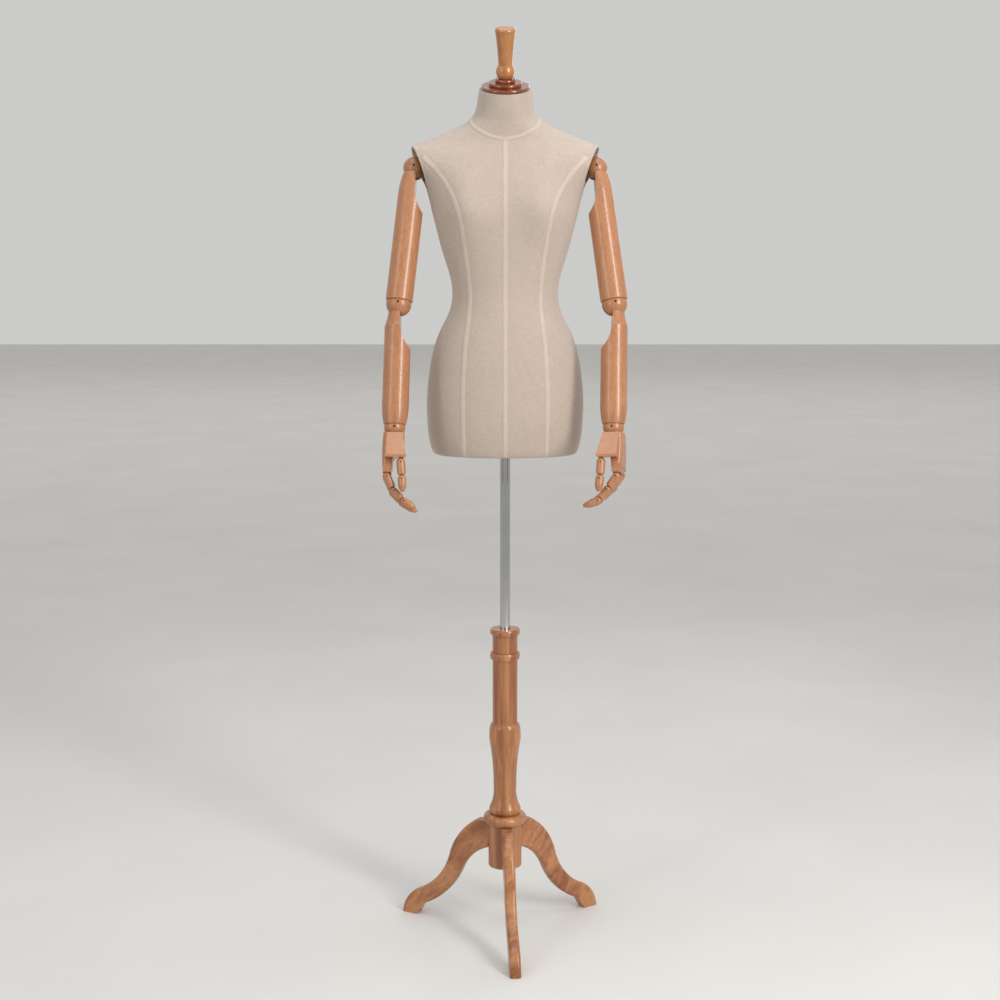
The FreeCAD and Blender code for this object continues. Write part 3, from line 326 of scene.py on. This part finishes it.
def paint_pin(node, centre, axis, radius):
    """Give the pin of a joint, and the wall of its hole, the steel of the pin."""
    mesh = nodes[node].data
    if PIN.name not in mesh.materials:
        mesh.materials.append(PIN)
    places = np.empty(len(mesh.vertices) * 3)
    mesh.vertices.foreach_get("co", places)
    offset = places.reshape(-1, 3) - np.array(centre)
    axis = np.array(axis) / np.linalg.norm(axis)
    reach = np.linalg.norm(offset - np.outer(offset @ axis, axis), axis=1)
    inside = reach < radius * MM
    for polygon in mesh.polygons:
        if all(inside[corner] for corner in polygon.vertices):
            polygon.material_index = PIN_SLOT


for joint in frame["joints"]:
    name = joint["name"]
    if not name.endswith(("_lift", "_bend")):
        continue
    size = ARM_PIN if name.endswith(("_lift", "elbow_bend", "wrist_bend")) else FINGER_PIN
    for node in (joint["parent"], joint["child"]):
        paint_pin(node, joint["pos_m"], joint["axis"], size)


# ------------------------------------------------------------------ linen cover

cover_mesh = nodes["torso_cover"].data
skin = BVHTree.FromPolygons(
    [vertex.co for vertex in cover_mesh.vertices],
    [polygon.vertices for polygon in cover_mesh.polygons],
)
cover_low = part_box("torso_cover")[0]


def add_piece(name, vertices, faces, material, body="torso", smooth=True):
    mesh = bpy.data.meshes.new(name)
    mesh.from_pydata(vertices, [], faces)
    mesh.validate()
    mesh.polygons.foreach_set("use_smooth", [smooth] * len(mesh.polygons))
    mesh.materials.append(material)
    piece = bpy.data.objects.new(name, mesh)
    bpy.context.scene.collection.objects.link(piece)
    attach(piece, body)


def hit(origin, direction):
    """Point and normal of the linen where a ray meets it."""
    place, normal, _, _ = skin.ray_cast(Vector(origin), Vector(direction).normalized())
    if place is None:
        return None
    if normal.dot(Vector(direction)) > 0:
        normal = -normal
    return place, normal


def raised(place, outward, height):
    """The point of the linen that is nearest to a place, lifted off it on the outward side."""
    found, normal, _, _ = skin.find_nearest(place)
    if normal.dot(outward) < 0:
        normal = -normal
    return found + normal * height


def strip_faces(count, rows, closed):
    """Quads between neighbouring rows of points, and from the last row to the first if closed."""
    faces = []
    for index in range(count if closed else count - 1):
        here = index * rows
        there = ((index + 1) % count) * rows
        for column in range(rows - 1):
            faces.append((here + column, there + column, there + column + 1, here + column + 1))
    return faces


CURVE_STEPS = 24   # between two of the given points


def through(points, count):
    """Evenly spaced points on a smooth curve through the given ones."""
    points = [np.array(point, float) for point in points]
    points = [2 * points[0] - points[1]] + points + [2 * points[-1] - points[-2]]
    dense = []
    for before, start, finish, after in zip(points, points[1:], points[2:], points[3:]):
        for step in range(CURVE_STEPS):
            t = step / CURVE_STEPS
            dense.append(0.5 * (2 * start + (finish - before) * t
                                + (2 * before - 5 * start + 4 * finish - after) * t ** 2
                                + (3 * start - before - 3 * finish + after) * t ** 3))
    dense.append(points[-2])
    dense = np.array(dense)
    way = np.concatenate([[0], np.cumsum(np.linalg.norm(np.diff(dense, axis=0), axis=1))])
    marks = np.linspace(0, way[-1], count)
    return np.stack([np.interp(marks, way, dense[:, axis]) for axis in range(dense.shape[1])], 1)


# across the tape, as a share of half its width, and its height off the linen in mm
TAPE_PROFILE = [(-1.0, -0.35), (-0.97, 0.20), (-0.86, 0.48), (-0.45, 0.60), (0.0, 0.62),
                (0.45, 0.60), (0.86, 0.48), (0.97, 0.20), (1.0, -0.35)]
STITCH_ROWS = (2, 6)       # the points of the profile that the stitches follow
STITCH = 3.4 * MM          # from one stitch to the next
STITCH_SHARE = 0.68        # of that, thread on top of the tape
STITCH_HALF = 0.28 * MM    # half the width of the thread
STITCH_FOOT = 0.02 * MM    # its ends, above the tape
STITCH_CROWN = 0.34 * MM   # its middle, above its ends
STITCH_EDGE = 0.15 * MM    # its edges, below its middle


def add_tape(name, line, width, closed=False):
    """A flat tape sewn along a line of (point, normal), and its two rows of stitches."""
    count = len(line)
    vertices = []
    stitches = []
    stitch_faces = []
    for index, (place, normal) in enumerate(line):
        before = line[index - 1 if index or closed else 0][0]
        after = line[(index + 1) % count if closed or index < count - 1 else index][0]
        along = (after - before).normalized()
        across = along.cross(normal).normalized()
        for reach, height in TAPE_PROFILE:
            wanted = place + across * (reach * width / 2)
            vertices.append(raised(wanted, normal, height * MM))
    rows = len(TAPE_PROFILE)
    faces = strip_faces(count, rows, closed)
    for column in STITCH_ROWS:
        carried = 0.0
        for index in range(count if closed else count - 1):
            start = vertices[index * rows + column]
            finish = vertices[((index + 1) % count) * rows + column]
            step = finish - start
            along = step.normalized()
            normal = line[index][1]
            side = along.cross(normal)
            while carried < step.length:
                foot = start + along * carried + normal * STITCH_FOOT
                tip = foot + along * (STITCH * STITCH_SHARE)
                middle = (foot + tip) / 2 + normal * STITCH_CROWN
                base = len(stitches)
                stitches += [
                    foot,
                    middle + side * STITCH_HALF - normal * STITCH_EDGE,
                    tip,
                    middle - side * STITCH_HALF - normal * STITCH_EDGE,
                    middle,
                ]
                for corner in range(4):
                    stitch_faces.append((base + corner, base + (corner + 1) % 4, base + 4))
                carried += STITCH
            carried -= step.length
    add_piece(name, vertices, faces, TAPE)
    add_piece(f"{name}_stitches", stitches, stitch_faces, THREAD, smooth=False)


SEAM_STEP = 4    # mm between the points of a seam
OUTSIDE = 1.0    # metres from the middle of the body: rays at the linen start here


def seam_line(points, forward):
    """Points (x, z) in mm, seen from the front (forward) or the back, laid on the linen."""
    start_y = -OUTSIDE if forward else OUTSIDE
    length = sum(math.dist(a, b) for a, b in zip(points, points[1:]))
    count = int(length / SEAM_STEP)
    line = []
    for x, z in through([(x * MM, z * MM) for x, z in points], count):
        found = hit((x, start_y, z), (0, -start_y, 0))
        if found:
            line.append(found)
    return line


# the seams, in mm: from the middle of the body, and above the floor
FOOT = cover_low.z / MM + 3
CENTRE_FRONT = [(0, 1736), (0, 1500), (0, 1300), (0, FOOT)]
CENTRE_BACK = [(0, 1796), (0, 1600), (0, 1300), (0, FOOT)]
PRINCESS_FRONT = [
    (170, 1702), (147, 1679), (124, 1649), (108.5, 1620), (98, 1590), (90.5, 1556), (83.5, 1509),
    (77, 1456), (74, 1410), (78, 1360), (84, 1310), (88.5, 1233), (89, 1158), (87, FOOT),
]
PRINCESS_BACK = [
    (172, 1690), (143, 1668), (118, 1640), (102, 1600), (90, 1550), (80, 1500), (73, 1450),
    (70, 1415), (75, 1360), (82, 1310), (87, 1233), (86, 1158), (82, FOOT),
]
SIDE_SEAM = np.linspace(1636, FOOT, 140)     # heights
SIDE_SEAM_Y = 8 * MM
SHOULDER_SEAM = np.linspace(82, 192, 28)     # distances from the middle
SHOULDER_SEAM_Y = 9 * MM
ABOVE = 2.5                                  # metres: rays down at the shoulder start here
TAPE_WIDTH = 10 * MM
SHOULDER_TAPE_WIDTH = 7 * MM
NECKLINE_WIDTH = 7.5 * MM

seams = {
    "centre_front_tape": seam_line(CENTRE_FRONT, True),
    "centre_back_tape": seam_line(CENTRE_BACK, False),
}
for label, side in SIDES.items():
    seams[f"{label}_front_tape"] = seam_line([(side * x, z) for x, z in PRINCESS_FRONT], True)
    seams[f"{label}_back_tape"] = seam_line([(side * x, z) for x, z in PRINCESS_BACK], False)
    sides = []
    for z in SIDE_SEAM:
        sides.append(hit((side * OUTSIDE, SIDE_SEAM_Y, z * MM), (-side, 0, 0)))
    seams[f"{label}_side_tape"] = sides
    ridge = []
    for x in SHOULDER_SEAM:
        ridge.append(hit((side * x * MM, SHOULDER_SEAM_Y, ABOVE), (0, 0, -1)))
    seams[f"{label}_shoulder_tape"] = ridge

for name, line in seams.items():
    add_tape(name, line, SHOULDER_TAPE_WIDTH if "shoulder" in name else TAPE_WIDTH)

# the angle round the neck from the front, in degrees, and the height of the neckline in mm
NECKLINE = [
    (-28, 1744), (0, 1739), (28, 1744), (47, 1756),
    (78, 1781), (110, 1793), (145, 1798), (180, 1799),
]
NECKLINE_STEP = 3.0
NECK_OUTSIDE = 0.5   # metres from the axis of the neck: the rays start here
half_neckline = through(NECKLINE, 200)
neckline = []
for angle in np.arange(0, 360, NECKLINE_STEP):
    turned = angle if angle <= 180 else 360 - angle
    height = np.interp(turned, half_neckline[:, 0], half_neckline[:, 1])
    reach = Vector((math.sin(math.radians(angle)), -math.cos(math.radians(angle)), 0))
    start = reach * NECK_OUTSIDE + Vector((0, 0, height * MM))
    neckline.append(hit(start, -reach))
add_tape("neckline_tape", neckline, NECKLINE_WIDTH, closed=True)

# the cover itself: the CAD skin, drawn in a little along its seams and uneven over its padding
VALLEY = 0.275 * MM        # how far the linen is drawn in at a seam
VALLEY_WIDTH = 9 * MM
# how far it swells and sinks in between, in mm, with the scale of the noise per metre
BROAD_SWELL, BROAD_SCALE = 0.3, 14
SMALL_SWELL, SMALL_SCALE = 0.15, 41
LIFT = 0.1
WELD = 1e-6
# every point of the seams, as a speck of a triangle that the distance is measured to
SPECK = (Vector((0, 0, 0)), Vector((0, 0, 0.1 * MM)), Vector((0.1 * MM, 0, 0)))
corners = []
for line in (*seams.values(), neckline):
    for place, _ in line:
        corners += [place + offset for offset in SPECK]
specks = [(corner, corner + 1, corner + 2) for corner in range(0, len(corners), 3)]
seam_tree = BVHTree.FromPolygons(corners, specks)
linen_mesh = cover_mesh.copy()
linen_mesh.name = "linen_cover"
editable = bmesh.new()
editable.from_mesh(linen_mesh)
bmesh.ops.remove_doubles(editable, verts=editable.verts, dist=WELD)
editable.normal_update()
for vertex in editable.verts:
    distance = seam_tree.find_nearest(vertex.co)[3]
    pull = VALLEY * math.exp(-(distance / VALLEY_WIDTH) ** 2)
    swell = (BROAD_SWELL * noise.noise(vertex.co * BROAD_SCALE)
             + SMALL_SWELL * noise.noise(vertex.co * SMALL_SCALE) + LIFT)
    vertex.co += vertex.normal * (swell * MM - pull)
editable.to_mesh(linen_mesh)
editable.free()
cover = bpy.data.objects.new("linen_cover", linen_mesh)
bpy.context.scene.collection.objects.link(cover)
linen_mesh.materials.clear()
linen_mesh.materials.append(LINEN)
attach(cover, "torso")
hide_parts("torso_cover")

# armhole bindings: the linen turned over the edge and in to the board
ARMHOLE_X, ARMHOLE_Z = 0.13, 1.641   # metres: the edge of the armhole is beyond these
ARMHOLE_TILT = math.radians(19)
ARMHOLE_TURN = math.radians(8)
EDGE_BAND = 0.05 * MM      # points this close to the outermost one are the edge
RING_DEPTH = 0.8 * MM      # the thickness of the edge is measured this far in
SKIP = 0.1 * MM            # from the inner skin, on the way to the outer one
RIM = 4 * MM               # thickness of the edge, where a ray does not find it
WIDEST_RIM = 7 * MM
BINDING_STEPS = 120
# the binding, in mm: along the way out of the armhole, and away from its middle
OUTER_BINDING = [(-7.5, -0.25), (-7.0, 0.55), (-1.2, 0.75), (0.35, 0.35)]   # from the outer edge
INNER_BINDING = [(0.5, 0), (-0.9, -0.6), (-19.4, -0.4)]                     # from the inner edge
BINDING_CROWN = 0.95 * MM  # above the middle of the edge
ON_LINEN = -1              # the points of the outer binding that are deeper lie on the linen
for label, side in SIDES.items():
    out = Vector((side * math.cos(ARMHOLE_TILT) * math.cos(ARMHOLE_TURN),
                  -math.cos(ARMHOLE_TILT) * math.sin(ARMHOLE_TURN), -math.sin(ARMHOLE_TILT)))
    near = [vertex.co for vertex in cover_mesh.vertices
            if side * vertex.co.x > ARMHOLE_X and vertex.co.z > ARMHOLE_Z]
    reach = max(place.dot(out) for place in near)
    ring = [place for place in near if place.dot(out) > reach - EDGE_BAND]
    middle = sum(ring, Vector()) / len(ring)
    level = out.cross(Vector((0, 0, 1))).normalized()
    upright = level.cross(out).normalized()
    vertices = []
    for step in range(BINDING_STEPS):
        angle = 2 * math.pi * step / BINDING_STEPS
        away = level * math.cos(angle) + upright * math.sin(angle)
        inner = skin.ray_cast(middle - out * RING_DEPTH, away)[0]
        outer = skin.ray_cast(inner + away * SKIP, away)[0]
        if outer is None or (outer - inner).length > WIDEST_RIM:
            outer = inner + away * RIM
        inner += out * RING_DEPTH
        outer += out * RING_DEPTH
        for depth, lift in OUTER_BINDING:
            place = outer + out * (depth * MM)
            if depth < ON_LINEN:
                place = raised(place, away, lift * MM)
            else:
                place += away * (lift * MM)
            vertices.append(place)
        vertices.append((inner + outer) / 2 + out * BINDING_CROWN)
        for depth, lift in INNER_BINDING:
            vertices.append(inner + out * (depth * MM) + away * (lift * MM))
    faces = strip_faces(BINDING_STEPS, len(vertices) // BINDING_STEPS, True)
    add_piece(f"{label}_armhole_binding", vertices, faces, LINEN)


# ------------------------------------------------------------------ studio

def add_light(name, place, target, size, power, colour=(1, 1, 1)):
    light = bpy.data.lights.new(name, "AREA")
    light.shape = "RECTANGLE"
    light.size, light.size_y = size
    light.energy = power
    light.color = colour
    lamp = bpy.data.objects.new(name, light)
    bpy.context.scene.collection.objects.link(lamp)
    lamp.location = place
    lamp.rotation_euler = (Vector(target) - Vector(place)).to_track_quat("-Z", "Y").to_euler()


FLOOR = 30   # metres each way from the middle
FLOOR_CORNERS = [(-FLOOR, -FLOOR, 0), (FLOOR, -FLOOR, 0), (FLOOR, FLOOR, 0), (-FLOOR, FLOOR, 0)]
floor_mesh = bpy.data.meshes.new("floor")
floor_mesh.from_pydata(FLOOR_CORNERS, [], [(0, 1, 2, 3)])
floor = bpy.data.objects.new("floor", floor_mesh)
bpy.context.scene.collection.objects.link(floor)
floor_shader = Shader("floor")
floor_clouds = floor_shader.noise(floor_shader.place, 1.5, 3.0)
FLOOR_SHADES = [(0.3, (0.66, 0.65, 0.63)), (0.7, (0.70, 0.69, 0.67))]
floor_colour = floor_shader.ramp(floor_clouds, FLOOR_SHADES)
floor_shader.link(floor_colour, floor_shader.surface.inputs["Base Color"])
floor_shader.plain(Roughness=0.75, Specular_IOR_Level=0.2)
floor_mesh.materials.append(floor_shader.material)

BACKDROP = (0.80, 0.80, 0.79, 1)
BACKDROP_STRENGTH = 0.75
world = bpy.data.worlds.new("studio")
world.use_nodes = True
world.node_tree.nodes["Background"].inputs["Color"].default_value = BACKDROP
world.node_tree.nodes["Background"].inputs["Strength"].default_value = BACKDROP_STRENGTH
bpy.context.scene.world = world

# place and target in metres, size, power in watts, colour
add_light("key", (2.0, -2.3, 2.3), (0, 0, 1.3), (0.6, 2.2), 70, (1.0, 0.98, 0.95))
add_light("fill", (-2.2, -2.1, 2.0), (0, 0, 1.2), (0.6, 2.2), 17, (0.97, 0.98, 1.0))
add_light("top", (0.0, -0.4, 3.6), (0, 0, 1.0), (2.2, 1.6), 24)
add_light("far_floor", (0, 12, 5.5), (0, 12, 0), (18, 12), 170)
add_light("rim", (0.8, 2.6, 2.4), (0, 0, 1.3), (1.2, 1.8), 8)

CAMERA_PLACE = (-0.011, -3.35, 1.460)
CAMERA_DIP = 8.2   # degrees below level
SENSOR = 36        # mm
LENS = 56.2        # mm
camera_data = bpy.data.cameras.new("camera")
camera_data.sensor_width = SENSOR
camera_data.lens = LENS
camera = bpy.data.objects.new("camera", camera_data)
bpy.context.scene.collection.objects.link(camera)
camera.location = CAMERA_PLACE
camera.rotation_euler = Euler((math.radians(90 - CAMERA_DIP), 0, 0))
bpy.context.scene.camera = camera
bpy.context.scene.view_settings.view_transform = "Standard"
